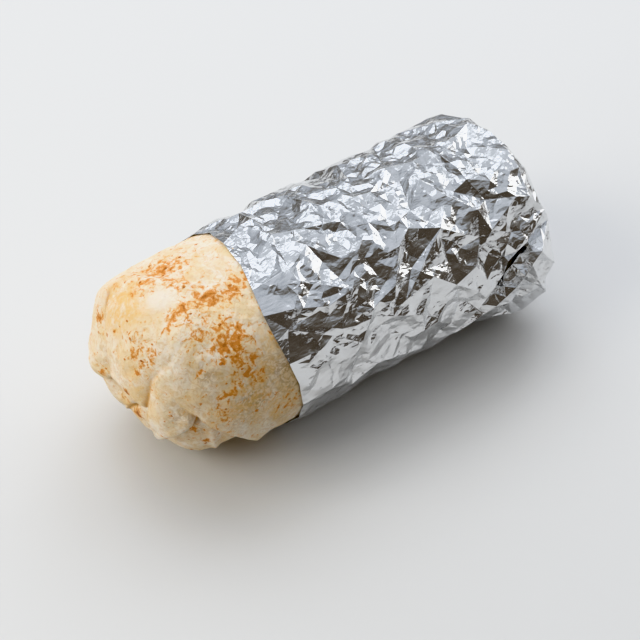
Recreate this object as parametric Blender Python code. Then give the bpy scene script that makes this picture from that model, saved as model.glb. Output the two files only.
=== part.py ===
"""A burrito in foil: a rolled, tucked flour tortilla with a crumpled sheet of foil round it.

Metres, +Z up. The roll lies along X, its bare tucked end at -X and the foil's folded end at
+X. The origin is under the middle of the whole thing, on the surface that it rests on.
"""
import math

import bpy
from mathutils import Vector, noise

# ---- driving sizes -------------------------------------------------------------------
LENGTH = 0.1815             # bare end to the foil's folded end
ROLL_WIDTH = 0.0795         # the tortilla roll, side to side
ROLL_HEIGHT = 0.0738        # the same roll, before it sags
SAG = 0.0010                # its round underside flattens by this much
ROLL_SQUARENESS = 2.2       # 2 is an ellipse; a heavy roll sags a little squarer
BELLY = 0.0010              # the middle is this much fatter than the ends
BARE_FLOOR = 0.0005         # the bare end's underside
WRAPPED_FLOOR = 0.0012      # the roll's underside where the foil runs below it

BARE_END_X = -0.5 * LENGTH
TUCK_TIP = (0.004, 0.034)   # y and z of the point that the tucks gather round
TUCK_ROUNDING = {"far": 0.020, "top": 0.024, "near": 0.044, "under": 0.022}
TUCK_BLUNTNESS = 2.7        # exponent of the end's rounded profile

DOUGH = 0.0032              # one folded layer of tortilla with the air behind it
HEM_SOFTNESS = 0.0010       # how fast a layer's edge drops to the layer below
CREASE_WIDTH = 0.0045       # how far a pleat's valley reaches to each side

FOIL_EDGE_X = -0.0390       # the foil's open edge
FOIL_EDGE_WAVE = 0.0027     # the cut edge wanders to and fro by this much
FOIL_SQUEEZE = 0.0014       # the foil holds the roll this much smaller than its bare end
SQUEEZE_RUN = (-0.016, -0.003)  # the squeeze sets in between these distances from the edge
FOIL_GAP = 0.0005           # air between the roll and the foil
FOIL_SHELL = 0.0006         # the foil with its small crumples, as a shell
CRUMPLE = 0.0020            # height of the larger crumples
CRUMPLE_SIZE = 0.012        # and the distance between them
SMOOTH_HEM = 0.012          # the crumples fade in over this length from the open edge
FOIL_END_ROUNDING = 0.017
FOIL_END_BLUNTNESS = 3.2
END_FLAP_RISE = 0.0018      # the top flap of the closed end, on the side corners
END_FLAP_LAYERS = 1.8       # the bottom flap lies over it, this many times as high
END_FLAP_OVERLAP = 0.007    # how far each flap's point runs past the middle
END_FLAP_SLOPE = 0.75       # how steeply the flaps' edges run together
FOLD_SOFTNESS = 0.001
FOIL_END_CLEARANCE = 0.006  # folded foil beyond the roll's own end
FLAP_RISE = 0.0018          # the folded corner stands off the sleeve by this much
FLAP_FLARE = 0.0040         # and by this much more at its outer end
FLAP_FOOT = (0.040, 0.026)  # x and z of the fold line's lower end, on the near side
FLAP_HEAD = (0.068, 0.056)  # and of its upper end

AROUND = 60                 # points round every ring


def superellipse(turn, half_width, half_height, squareness):
    """A point of a rounded section; turn 0 is the far side, a quarter turn is the top."""
    power = 2.0 / squareness
    cosine, sine = math.cos(turn), math.sin(turn)
    y = half_width * math.copysign(abs(cosine) ** power, cosine)
    z = half_height * math.copysign(abs(sine) ** power, sine)
    return y, z


def smooth_step(low, high, value):
    """0 at low and 1 at high, whichever of the two is larger."""
    t = min(max((value - low) / (high - low), 0.0), 1.0)
    return t * t * (3.0 - 2.0 * t)


def along_points(points, value):
    """Reads a smooth line through (key, reading) pairs."""
    if value <= points[0][0]:
        return points[0][1]
    for (key_a, read_a), (key_b, read_b) in zip(points, points[1:]):
        if value <= key_b:
            return read_a + (read_b - read_a) * smooth_step(key_a, key_b, value)
    return points[-1][1]


def rounding_at(turn, sizes):
    """Blends a rounding between the far side, the top, the near side and the underside."""
    order = ("far", "top", "near", "under", "far")
    quarter = (turn % (2.0 * math.pi)) / (0.5 * math.pi)
    index = min(int(quarter), 3)
    share = smooth_step(0.0, 1.0, quarter - index)
    return sizes[order[index]] * (1.0 - share) + sizes[order[index + 1]] * share


def body_section(x, turn, grow):
    """The roll's section at x, grown outward by `grow`, a little slimmer inside the foil."""
    swell = BELLY * math.cos(math.pi * x / LENGTH)
    run_from, run_to = SQUEEZE_RUN
    swell -= FOIL_SQUEEZE * smooth_step(run_from, run_to, x - FOIL_EDGE_X)
    half_width = 0.5 * ROLL_WIDTH + swell + grow
    half_height = 0.5 * ROLL_HEIGHT + swell + grow
    y, z = superellipse(turn, half_width, half_height, ROLL_SQUARENESS)
    return y, z + 0.5 * ROLL_HEIGHT - SAG


# ---- the bare, tucked end ------------------------------------------------------------
# The outer layer hangs over the end like a curtain. Its hem is a height for each bearing,
# seen from above: 0 points out along -X, +90 degrees to the far side, -90 to the near side.
HEM_AXIS_X = -0.055
END_REACH = 0.020           # the folds stop this far on the body's side of that axis
CURTAIN_HEM = (
    (-112, 0.004), (-92, 0.014), (-78, 0.028), (-63, 0.035), (-50, 0.043),
    (-40, 0.029), (-26, 0.018), (-21, 0.034), (-3, 0.029), (5, 0.034), (11, 0.042),
    (24, 0.058), (40, 0.066), (60, 0.080),
)
# Pleats that run up from the hem: bearing at the foot, bearing at the head, height of the
# head, depth.
PLEATS = (
    (-22, -28, 0.062, 0.0040),
    (-49, -52, 0.058, 0.0022),
    (12, 16, 0.030, 0.0014),
)
# The layers below the curtain: bearing of the middle, half spread, height, push outward.
UNDER_LAYER_DEPTH = 0.016
UNDER_LAYERS = (
    (32, 18, 0.020, 0.0056),
    (4, 22, 0.012, 0.0024),
    (-50, 16, 0.010, 0.0016),
)


def end_relief(point):
    """How far the folds push the tucked end's surface outward at a point."""
    bearing = math.degrees(math.atan2(point.y, HEM_AXIS_X - point.x))
    if point.x > HEM_AXIS_X + END_REACH:
        return DOUGH
    hem = along_points(CURTAIN_HEM, bearing)
    relief = DOUGH * smooth_step(-HEM_SOFTNESS, HEM_SOFTNESS, point.z - hem)
    for foot, head, top, depth in PLEATS:
        share = min(point.z / top, 1.0)
        line = foot + (head - foot) * share
        reach = (HEM_AXIS_X - BARE_END_X) * math.radians(bearing - line)
        fade = smooth_step(top, 0.55 * top, point.z)
        relief -= depth * fade * math.exp(-abs(reach) / CREASE_WIDTH)
    for middle, spread, height, push in UNDER_LAYERS:
        off = ((bearing - middle) / spread) ** 2
        off += ((point.z - height) / UNDER_LAYER_DEPTH) ** 2
        relief += push * math.exp(-off)
    return relief


def bare_end_ring(step, steps):
    """One ring of the tucked end; step 0 joins the body, the last one is near the tip."""
    lift = 0.5 * math.pi * step / steps
    shrink = math.cos(lift) ** (2.0 / TUCK_BLUNTNESS)
    reach = math.sin(lift) ** (2.0 / TUCK_BLUNTNESS)
    ring = []
    for index in range(AROUND):
        turn = 2.0 * math.pi * index / AROUND
        rounding = rounding_at(turn, TUCK_ROUNDING)
        start_x = BARE_END_X + DOUGH + rounding
        y, z = body_section(start_x, turn, -DOUGH)
        ring.append(Vector((start_x - rounding * reach,
                            TUCK_TIP[0] + (y - TUCK_TIP[0]) * shrink,
                            TUCK_TIP[1] + (z - TUCK_TIP[1]) * shrink)))
    return ring


def body_ring(x_at, grow):
    """One ring round the roll; x_at gives its x for a height and a side."""
    ring = []
    for index in range(AROUND):
        turn = 2.0 * math.pi * index / AROUND
        y, z = body_section(0.0, turn, grow)
        x = x_at(y, z)
        y, z = body_section(x, turn, grow)
        ring.append(Vector((x, y, z)))
    return ring


def grid_normals(rings):
    """Outward normals of a tube of rings that run from +X to -X."""
    normals = []
    last = len(rings) - 1
    for i, ring in enumerate(rings):
        before, after = rings[max(i - 1, 0)], rings[min(i + 1, last)]
        row = []
        for j in range(AROUND):
            along = after[j] - before[j]
            across = ring[(j + 1) % AROUND] - ring[j - 1]
            row.append(along.cross(across).normalized())
        normals.append(row)
    return normals


def skin(rings, tips):
    """Vertices and faces over a row of rings, closed by a fan to a tip point at each end."""
    vertices = [point for ring in rings for point in ring]
    faces = []
    for i in range(len(rings) - 1):
        for j in range(AROUND):
            k = (j + 1) % AROUND
            a, b = i * AROUND + j, i * AROUND + k
            faces.append((a, a + AROUND, b + AROUND, b))
    first, last = len(vertices), len(vertices) + 1
    base = (len(rings) - 1) * AROUND
    for j in range(AROUND):
        k = (j + 1) % AROUND
        faces.append((first, j, k))
        faces.append((last, base + k, base + j))
    return vertices + list(tips), faces


def make_material(name, colour, roughness, metallic):
    material = bpy.data.materials.new(name)
    material.use_nodes = True
    shader = material.node_tree.nodes["Principled BSDF"]
    shader.inputs["Base Color"].default_value = (*colour, 1.0)
    shader.inputs["Roughness"].default_value = roughness
    shader.inputs["Metallic"].default_value = metallic
    return material


def make_object(name, vertices, faces, material):
    mesh = bpy.data.meshes.new(name)
    mesh.from_pydata([tuple(point) for point in vertices], [], faces)
    mesh.materials.append(material)
    mesh.update()
    thing = bpy.data.objects.new(name, mesh)
    bpy.context.scene.collection.objects.link(thing)
    return thing


# ---- the tortilla --------------------------------------------------------------------
ROLL_FAR_X = 0.5 * LENGTH - FOIL_END_CLEARANCE
ROLL_END_ROUNDING = 0.018
ROLL_END_BLUNTNESS = 2.6
TUCKED_LENGTH = 0.004       # the bare skin starts this far inside the foil
END_STEPS = 22
BARE_STATIONS = 9
HIDDEN_STATIONS = 4
FAR_STEPS = 4


def far_ring(step, steps, end_x, rounding, grow, bluntness):
    """A ring of a plain rounded end at +X, from the body (step 0) towards its tip."""
    lift = 0.5 * math.pi * step / steps
    shrink = math.cos(lift) ** (2.0 / bluntness)
    reach = math.sin(lift) ** (2.0 / bluntness)
    middle = 0.5 * ROLL_HEIGHT
    ring = []
    for index in range(AROUND):
        turn = 2.0 * math.pi * index / AROUND
        y, z = body_section(end_x - rounding, turn, grow)
        ring.append(Vector((end_x - rounding + rounding * reach,
                            y * shrink, middle + (z - middle) * shrink)))
    return ring


def floor_under(ring, floor):
    for point in ring:
        point.z = max(point.z, floor)


def build_tortilla():
    wrapped = [far_ring(step, FAR_STEPS, ROLL_FAR_X, ROLL_END_ROUNDING, 0.0,
                        ROLL_END_BLUNTNESS) for step in range(FAR_STEPS - 1, -1, -1)]
    wrapped_from = ROLL_FAR_X - ROLL_END_ROUNDING
    for step in range(1, HIDDEN_STATIONS + 1):
        share = step / (HIDDEN_STATIONS + 1)
        x = wrapped_from + (FOIL_EDGE_X - wrapped_from) * share
        wrapped.append(body_ring(lambda y, z: x, 0.0))
    end_rings = [bare_end_ring(step, END_STEPS) for step in range(END_STEPS)]
    edge_ring = body_ring(lambda y, z: FOIL_EDGE_X + TUCKED_LENGTH, -DOUGH)
    bare = []
    for step in range(BARE_STATIONS):
        share = step / BARE_STATIONS
        bare.append([a.lerp(b, share) for a, b in zip(edge_ring, end_rings[0])])
    bare += end_rings
    for ring, row in zip(bare, grid_normals(bare)):
        for point, normal in zip(ring, row):
            point += normal * end_relief(point.copy())
    far_tip = Vector((ROLL_FAR_X, 0.0, 0.5 * ROLL_HEIGHT))
    bare_tip = Vector((BARE_END_X + DOUGH, *TUCK_TIP))
    bare_tip.x -= end_relief(bare_tip)
    for ring in bare[2:]:
        floor_under(ring, BARE_FLOOR)
    for ring in wrapped + bare[:2]:
        floor_under(ring, WRAPPED_FLOOR)
    vertices, faces = skin(wrapped + bare, (far_tip, bare_tip))
    dough = make_material("toasted_tortilla", (0.78, 0.60, 0.38), 0.72, 0.0)
    tortilla = make_object("tortilla_roll", vertices, faces, dough)
    tortilla.data.shade_smooth()
    return tortilla


# ---- the foil ------------------------------------------------------------------------
FOIL_END_X = 0.5 * LENGTH
INNER_END_X = FOIL_END_X - 0.5 * FOIL_END_CLEARANCE - FOIL_SHELL
FOIL_STATIONS = 25
FOIL_END_STEPS = 9
INNER_STATIONS = 6
INNER_END_STEPS = 4


def edge_x(y, z):
    """Where the foil's wavy open edge lies, for a point of its section."""
    bearing = math.atan2(z - 0.5 * ROLL_HEIGHT, y)
    return FOIL_EDGE_X + FOIL_EDGE_WAVE * math.sin(3.0 * bearing - 2.2)


def crumple_at(point, strength):
    """Sharp-edged swells of the foil: a cell pattern drawn out a little along the roll."""
    place = Vector((point.x / (1.5 * CRUMPLE_SIZE), point.y / CRUMPLE_SIZE,
                    point.z / CRUMPLE_SIZE))
    distances, _ = noise.voronoi(place)
    return CRUMPLE * strength * min(distances[1] - distances[0], 1.0)


def flap_rise(point):
    """The folded corner under the near side of the closed end."""
    (foot_x, foot_z), (head_x, head_z) = FLAP_FOOT, FLAP_HEAD
    climb = (max(point.z, foot_z) - foot_z) / (head_z - foot_z)
    fold_x = foot_x + (head_x - foot_x) * climb
    past_fold = smooth_step(fold_x, fold_x + 0.003, point.x)
    near_side = smooth_step(0.006, -0.012, point.y) if point.z < foot_z else 1.0
    flare = FLAP_FLARE * smooth_step(head_x - 0.015, FOIL_END_X, point.x)
    flare *= smooth_step(head_z, foot_z, point.z)
    return (FLAP_RISE + flare) * past_fold * near_side * smooth_step(0.0, -0.016, point.y)


def end_flap_rise(point):
    """The closed end, folded like a parcel: side corners, then the top, then the bottom."""
    on_end = smooth_step(FOIL_END_X - FOIL_END_ROUNDING, INNER_END_X, point.x)
    climb = END_FLAP_SLOPE * abs(point.y) - END_FLAP_OVERLAP
    above = point.z - 0.5 * ROLL_HEIGHT
    top_flap = smooth_step(-FOLD_SOFTNESS, FOLD_SOFTNESS, above - climb)
    bottom_flap = smooth_step(FOLD_SOFTNESS, -FOLD_SOFTNESS, above + climb)
    return END_FLAP_RISE * on_end * max(top_flap, END_FLAP_LAYERS * bottom_flap)


def foil_rings(grow, stations, end_steps, end_x, rounding):
    """Rings from near the closed tip at +X to the open edge."""
    rings = [far_ring(step, end_steps, end_x, rounding, grow, FOIL_END_BLUNTNESS)
             for step in range(end_steps - 1, -1, -1)]
    body_x = end_x - rounding
    for step in range(1, stations + 1):
        share = step / stations
        rings.append(body_ring(lambda y, z: body_x + (edge_x(y, z) - body_x) * share, grow))
    return rings


def build_foil():
    crumpled_end_x = FOIL_END_X - END_FLAP_LAYERS * END_FLAP_RISE
    outer = foil_rings(FOIL_GAP + FOIL_SHELL, FOIL_STATIONS, FOIL_END_STEPS,
                       crumpled_end_x, FOIL_END_ROUNDING)
    for ring, row in zip(outer, grid_normals(outer)):
        for point, normal in zip(ring, row):
            strength = smooth_step(0.0, SMOOTH_HEM, point.x - edge_x(point.y, point.z))
            rise = crumple_at(point, strength) + flap_rise(point) + end_flap_rise(point)
            point += normal * rise
        floor_under(ring, 0.0)
    inner = foil_rings(FOIL_GAP, INNER_STATIONS, INNER_END_STEPS,
                       INNER_END_X, ROLL_END_ROUNDING)
    for ring in inner:
        floor_under(ring, WRAPPED_FLOOR - FOIL_GAP)
    middle = 0.5 * ROLL_HEIGHT
    tips = (Vector((FOIL_END_X, 0.0, middle)), Vector((INNER_END_X, 0.0, middle)))
    vertices, faces = skin(outer + inner[::-1], tips)
    foil_metal = make_material("crumpled_foil", (0.80, 0.80, 0.81), 0.22, 1.0)
    return make_object("foil_wrap", vertices, faces, foil_metal)


def centre_over_origin(things):
    """Slides the meshes along X and Y until the whole box is centred on the origin."""
    points = [vertex.co for thing in things for vertex in thing.data.vertices]
    middle_x = 0.5 * (min(p.x for p in points) + max(p.x for p in points))
    middle_y = 0.5 * (min(p.y for p in points) + max(p.y for p in points))
    for point in points:
        point.x -= middle_x
        point.y -= middle_y


for leftover in list(bpy.data.objects):
    bpy.data.objects.remove(leftover)
centre_over_origin([build_tortilla(), build_foil()])
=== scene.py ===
# %% [markdown]
# # A burrito in foil
# A burrito is a flour tortilla rolled round its filling, tucked shut at one end and wrapped
# in kitchen foil. This lesson builds the two things that show: the toasted dough with its
# folded end, and the crumpled metal sheet. The solids of the real size are loaded first,
# and each fine piece is made where its solid stands.

# %% Load the solids
import math

import bpy
import numpy as np
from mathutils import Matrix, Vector, geometry, noise


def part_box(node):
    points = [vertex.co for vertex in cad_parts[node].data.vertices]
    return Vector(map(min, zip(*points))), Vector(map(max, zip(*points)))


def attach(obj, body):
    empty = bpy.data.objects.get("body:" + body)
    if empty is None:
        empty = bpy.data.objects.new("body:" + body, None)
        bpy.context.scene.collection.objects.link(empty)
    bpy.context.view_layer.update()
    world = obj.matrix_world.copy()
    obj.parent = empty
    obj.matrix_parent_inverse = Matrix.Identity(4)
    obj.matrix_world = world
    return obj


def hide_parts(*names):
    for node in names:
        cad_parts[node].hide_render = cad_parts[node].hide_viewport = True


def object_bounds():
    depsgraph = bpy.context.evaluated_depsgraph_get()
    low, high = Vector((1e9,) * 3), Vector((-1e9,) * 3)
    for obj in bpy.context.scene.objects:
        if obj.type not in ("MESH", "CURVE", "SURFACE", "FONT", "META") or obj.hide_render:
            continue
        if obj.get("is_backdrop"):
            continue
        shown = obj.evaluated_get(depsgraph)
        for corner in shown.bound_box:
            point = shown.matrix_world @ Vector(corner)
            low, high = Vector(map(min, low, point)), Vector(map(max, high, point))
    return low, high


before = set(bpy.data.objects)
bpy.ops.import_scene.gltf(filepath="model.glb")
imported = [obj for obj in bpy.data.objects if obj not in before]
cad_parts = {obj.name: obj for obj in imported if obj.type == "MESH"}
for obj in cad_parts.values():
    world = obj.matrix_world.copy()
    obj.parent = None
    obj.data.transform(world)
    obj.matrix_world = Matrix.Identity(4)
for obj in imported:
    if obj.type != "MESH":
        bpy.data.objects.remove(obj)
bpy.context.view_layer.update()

ROLL_LOW, ROLL_HIGH = [np.array(corner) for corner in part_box("tortilla_roll")]
FOIL_LOW, FOIL_HIGH = [np.array(corner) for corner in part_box("foil_wrap")]
MM = 0.001
print("roll", ROLL_LOW, ROLL_HIGH)
print("foil", FOIL_LOW, FOIL_HIGH)

# %% [markdown]
# ## The roll's section
# A full tortilla is a soft tube. It rests on its side, so its section is a little squarer
# than an ellipse and flat underneath. A superellipse says that with one number, and both
# the dough and the foil grow out of the same section, so they can't cut each other.

# %% The section as a function
SAG = 1.0 * MM               # how far the soft roll would reach below the table
ROLL_SQUARENESS = 2.2        # 2 is an ellipse, and more is squarer
MID_Y = 0.5 * (ROLL_LOW[1] + ROLL_HIGH[1])
HALF_WIDTH = 0.5 * (ROLL_HIGH[1] - ROLL_LOW[1])
HALF_HEIGHT = 0.5 * (ROLL_HIGH[2] + SAG)
MID_Z = HALF_HEIGHT - SAG


def smooth_step(low, high, value):
    """0 at low and 1 at high, whichever of the two is larger."""
    t = np.clip((value - low) / (high - low), 0.0, 1.0)
    return t * t * (3.0 - 2.0 * t)


def section(turn, grow):
    """y and z of the section's points; turn 0 is the far side, a quarter turn the top."""
    power = 2.0 / ROLL_SQUARENESS
    cosine, sine = np.cos(turn), np.sin(turn)
    y = (HALF_WIDTH + grow) * np.sign(cosine) * np.abs(cosine) ** power
    z = (HALF_HEIGHT + grow) * np.sign(sine) * np.abs(sine) ** power
    return MID_Y + y, MID_Z + z


print("section", round(2000 * HALF_WIDTH, 1), "by", round(2000 * HALF_HEIGHT, 1), "mm")

# %% [markdown]
# ## Small helpers
# Colours are written as the hex values that a designer would pick, and turned linear once.
# One function adds a shader node, sets it and links it, so that a material reads like a
# recipe. Another turns arrays into a mesh object.

# %% Helpers for colours, nodes and meshes
def hex_colour(text):
    """An sRGB hex value as linear red, green, blue and alpha."""
    parts = [int(text[i:i + 2], 16) / 255.0 for i in (1, 3, 5)]
    linear = [c / 12.92 if c <= 0.04045 else ((c + 0.055) / 1.055) ** 2.4 for c in parts]
    return (*linear, 1.0)


def add_node(tree, kind, settings=None, values=None, links=None):
    """Adds a node, sets its properties and socket values, and links sockets into it."""
    node = tree.nodes.new(kind)
    for key, value in (settings or {}).items():
        setattr(node, key, value)
    for key, value in (values or {}).items():
        node.inputs[key].default_value = value
    for key, socket in (links or {}).items():
        tree.links.new(socket, node.inputs[key])
    return node


def start_material(name):
    """A new material with only its Principled shader and output."""
    material = bpy.data.materials.new(name)
    material.use_nodes = True
    return material, material.node_tree, material.node_tree.nodes["Principled BSDF"]


def make_mesh_object(name, vertices, faces, material):
    """A smooth-shaded mesh object from lists of points and faces, with one material."""
    mesh = bpy.data.meshes.new(name)
    mesh.from_pydata(np.asarray(vertices).tolist(), [], [list(face) for face in faces])
    mesh.materials.append(material)
    mesh.validate()
    mesh.shade_smooth()
    thing = bpy.data.objects.new(name, mesh)
    bpy.context.scene.collection.objects.link(thing)
    return thing


# %% [markdown]
# ## The loaf under the folds
# Tucking a tortilla shut turns its end into a blunt, rounded nose. The nose is made of rings
# that shrink from the body to one tip point, with a different rounding on the top, the far
# side, the near side and below, because the dough is folded in from all four. Rings give
# even quads that the folds can be pressed into. Inside the foil nothing shows, so the roll
# goes on there a little slimmer, which leaves the crumpled foil its room.

# %% Rings of the loaf
DOUGH = 3.2 * MM                      # the outer layer's thickness, with its air
TIP = (MID_Y + 4.6 * MM, 34.0 * MM)   # y and z of the nose's middle
NOSE_X = ROLL_LOW[0] + 1.2 * MM + DOUGH
# the nose's rounding at the far side, the top, the near side, below, and the far side again
ROUNDINGS = [20 * MM, 24 * MM, 44 * MM, 22 * MM, 20 * MM]
NOSE_BLUNTNESS = 2.7                  # 2 is an ellipse, and more is blunter
NOSE_LENGTH, NOSE_RADIUS = 30 * MM, 36 * MM
AROUND = 360
NOSE_RINGS, BARE_RINGS, HIDDEN_RINGS, CAP_RINGS = 96, 78, 12, 14
FOIL_EDGE_WAVE = 2.7 * MM
FOIL_EDGE_X = FOIL_LOW[0] + FOIL_EDGE_WAVE
HIDDEN_SLIMNESS = 7.0 * MM            # how far the hidden roll lies inside the foil
HIDDEN_OVERLAP = 16 * MM              # how far the bare rings run on under the foil
HIDDEN_CAP = 18 * MM                  # the rounding of the hidden far end
turns = np.linspace(0.0, 2.0 * math.pi, AROUND, endpoint=False)


def foil_edge_x(turn):
    """Where the foil's cut edge lies at a turn round the roll; the cut is a little wavy."""
    return FOIL_EDGE_X + FOIL_EDGE_WAVE * np.sin(3.0 * turn - 2.2)


def nose_ring(lift):
    """A ring of the nose; lift 0 joins the body, a quarter turn is the tip."""
    quarter = turns / (0.5 * math.pi)
    index = np.minimum(quarter.astype(int), 3)
    share = smooth_step(0.0, 1.0, quarter - index)
    sizes = np.array(ROUNDINGS)
    rounding = sizes[index] * (1.0 - share) + sizes[index + 1] * share
    shrink = math.cos(lift) ** (2.0 / NOSE_BLUNTNESS)
    reach = math.sin(lift) ** (2.0 / NOSE_BLUNTNESS)
    y, z = section(turns, -DOUGH)
    return np.stack([NOSE_X + rounding * (1.0 - reach), TIP[0] + (y - TIP[0]) * shrink,
                     TIP[1] + (z - TIP[1]) * shrink], 1)


def even_lifts(count):
    """Lifts that put the nose's rings at even distances along its side."""
    lift = np.linspace(0.0, 0.5 * math.pi, 2000)
    x = NOSE_LENGTH * np.sin(lift) ** (2.0 / NOSE_BLUNTNESS)
    radius = NOSE_RADIUS * np.cos(lift) ** (2.0 / NOSE_BLUNTNESS)
    along = np.concatenate([[0.0], np.cumsum(np.hypot(np.diff(x), np.diff(radius)))])
    return np.interp(np.linspace(0.0, along[-1], count + 1)[:-1], along, lift)


def hidden_ring(x, shrink):
    """A ring of the slimmer roll that the foil hides."""
    y, z = section(turns, -HIDDEN_SLIMNESS)
    return np.stack([np.full(AROUND, x), MID_Y + (y - MID_Y) * shrink,
                     MID_Z + (z - MID_Z) * shrink], 1)


hidden_from, hidden_to = FOIL_EDGE_X + HIDDEN_OVERLAP, ROLL_HIGH[0] - HIDDEN_CAP
hidden = [hidden_ring(ROLL_HIGH[0] - HIDDEN_CAP * (1.0 - math.sin(lift)), math.cos(lift) ** 0.7)
          for lift in np.linspace(1.5, 0.0, CAP_RINGS)]
hidden += [hidden_ring(x, 1.0) for x in np.linspace(hidden_to, hidden_from, HIDDEN_RINGS)[1:]]
nose = [nose_ring(lift) for lift in even_lifts(NOSE_RINGS)]
bare = []
for share in np.linspace(0.0, 1.0, BARE_RINGS + 1)[1:-1]:
    x = hidden_from + (nose[0][:, 0] - hidden_from) * share
    tuck = smooth_step(2 * MM, 12 * MM, x - foil_edge_x(turns))
    y, z = section(turns, -DOUGH - (HIDDEN_SLIMNESS - DOUGH) * tuck)
    bare.append(np.stack([x, y, z], 1))
loaf = np.concatenate(hidden + bare + nose)
RINGS = len(hidden) + len(bare) + len(nose)
FOLDED_FROM = len(hidden)
print("loaf rings", RINGS, "points", len(loaf))

# %% [markdown]
# ## The folded skin
# The outer layer of dough hangs over the nose like a curtain, gathered into lobes, and its
# cut hem shows above the layers below. Each hem is drawn as a few points on a plane that
# unrolls the nose: a bearing in degrees, seen from above, and a height in millimetres. The
# distance to the nearest stretch of hem then says how thick the dough is at any point, so
# that the step, its soft lip and the shaded groove under it follow the drawn line.

# %% Hems, creases and lobes
AXIS_X = ROLL_LOW[0] + 37 * MM   # an upright axis in the nose, which bearings turn about
WALL_RADIUS = 36.0               # millimetres from the axis to the nose's wall
# bearing and height of each point; the skin lies above its hem, the under layer above its own
SKIN_HEM = [(-200, -10), (-112, 4), (-100, 12), (-92, 17), (-82, 23), (-74, 28.5), (-68, 33),
            (-60, 37.5), (-54.5, 40.8), (-53, 42), (-51.5, 38.5), (-48, 35), (-43, 32),
            (-38, 29.5), (-33, 26.5), (-28, 24), (-25, 25.5), (-22, 32), (-19.5, 37),
            (-15, 38), (-10, 38.5), (-4, 39), (2, 40), (8, 39), (13, 37.5), (18, 34.5),
            (24, 31.5), (32, 31.5), (45, 33), (60, 32), (78, 27), (95, 15), (115, 4),
            (200, -10), (200, 130), (-200, 130)]
EAR_LINE = [(58, 66), (48, 63.5), (40, 61), (30, 56), (22, 50), (18, 43), (15, 35.5), (13, 28)]
UNDER_HEM = [(60, 12), (34, 14), (14, 16), (10, 20), (0, 27), (-8, 31.5), (-19, 36),
             (-19, 60), (60, 60)]
POCKET_RIDGE = [(-60, 36), (-62, 25), (-62.5, 15)]
# line, depth at its start, depth at its end, half width
CREASES = [
    ([(-42, 64.5), (-31, 57.7), (-25, 52.5), (-23, 45), (-19.5, 36)], 0.1, 3.2, 1.9),
    ([(-40, 49), (-46, 45.5), (-53, 42)], 0.0, 2.2, 1.3),
    ([(-13, 36), (-5, 29.5), (5.5, 22.5), (18, 17)], 2.4, 1.4, 1.2),
    ([(-16, 26), (-9, 30), (-4, 25)], 0.6, 0.0, 1.2),
    ([(-78, 33), (-74, 29), (-71, 27)], 0.0, 0.6, 1.6),
]
# bearing, half spread, height, half spread, push
LOBES = [(34, 16, 22, 12, 2.4), (4, 20, 12, 14, 1.2), (-50, 16, 10, 16, 1.6),
         (-34, 10, 38, 12, 1.4), (-4, 13, 47, 11, 0.9), (-70, 14, 42, 13, 0.7),
         (62, 14, 68, 8, -1.9), (46, 8, 60, 7, 1.2), (32, 11, 35, 7, 1.6), (36, 12, 50, 8, -0.5)]
print("points on the skin's hem", len(SKIN_HEM))

# %% [markdown]
# ## How near a line is
# The folds need three measures on the unrolled nose: where a point of the loaf lies there,
# how far it is from a drawn line, and which side of a closed outline it is on. They work on
# all of the points at once, because the loaf has tens of thousands.

# %% Distances on the unrolled nose
def unrolled(points):
    """Bearing times radius, and height, both in millimetres."""
    bearing = np.arctan2(points[:, 1], AXIS_X - points[:, 0])
    return np.stack([bearing * WALL_RADIUS, points[:, 2] / MM], 1)


def on_plane(line):
    """A drawn line's points, with its bearings turned into millimetres."""
    return np.array([(math.radians(bearing) * WALL_RADIUS, height) for bearing, height in line])


def distance_to_line(flat, line, closed=False):
    """Distance from each point to a line, and how far along the line that is, 0 to 1."""
    corners = np.concatenate([line, line[:1]]) if closed else line
    lengths = np.linalg.norm(np.diff(corners, axis=0), axis=1)
    starts = np.concatenate([[0.0], np.cumsum(lengths)])
    nearest = np.full(len(flat), 1e9)
    along = np.zeros(len(flat))
    for start, end, length, run in zip(corners, corners[1:], lengths, starts):
        step = (end - start) / length
        reach = np.clip((flat - start) @ step, 0.0, length)
        gap = np.linalg.norm(flat - start - reach[:, None] * step, axis=1)
        closer = gap < nearest
        nearest = np.where(closer, gap, nearest)
        along = np.where(closer, (run + reach) / starts[-1], along)
    return nearest, along


def inside(flat, outline):
    """Whether each point lies inside a closed outline, by counting crossings."""
    found = np.zeros(len(flat), bool)
    for (x1, y1), (x2, y2) in zip(outline, np.roll(outline, -1, axis=0)):
        spans = (y1 > flat[:, 1]) != (y2 > flat[:, 1])
        slope = (x2 - x1) / (y2 - y1) if y1 != y2 else 0.0
        found ^= spans & (flat[:, 0] < x1 + slope * (flat[:, 1] - y1))
    return found


def signed_distance(flat, outline):
    """Positive inside a closed outline, in millimetres."""
    gap, _ = distance_to_line(flat, outline, closed=True)
    return np.where(inside(flat, outline), gap, -gap)


# %% [markdown]
# ## Pressing the folds in
# All of the folds are one height over the loaf. A hem is a quick step, a little proud just
# above its edge and hollow just below. A crease is a narrow valley with a sharp bottom.
# Soft noise adds the filling's lumps and the small puffs that flour dough gets on a griddle.

# %% Height of the folds
HEM_LIP, HEM_GROOVE = 0.45, 2.3       # millimetres proud above a hem, and hollow below it
UNDER_LAYER = 1.7                     # how far the layer under the skin stands off the loaf
EAR_STEP, EAR_GROOVE = 2.8, 2.2       # the folded ear's step, and the groove along it
POCKET_FOLD = 1.5                     # the ridge inside the pocket
DEEPEST_CREASE = 3.2


def noise_at(points, size, seed):
    """Smooth noise from -1 to 1 with lumps of about this size."""
    shift = Vector((seed, 2.0 * seed, 3.0 * seed))
    return np.array([noise.noise(Vector(p) / size + shift) for p in points.tolist()])


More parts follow.
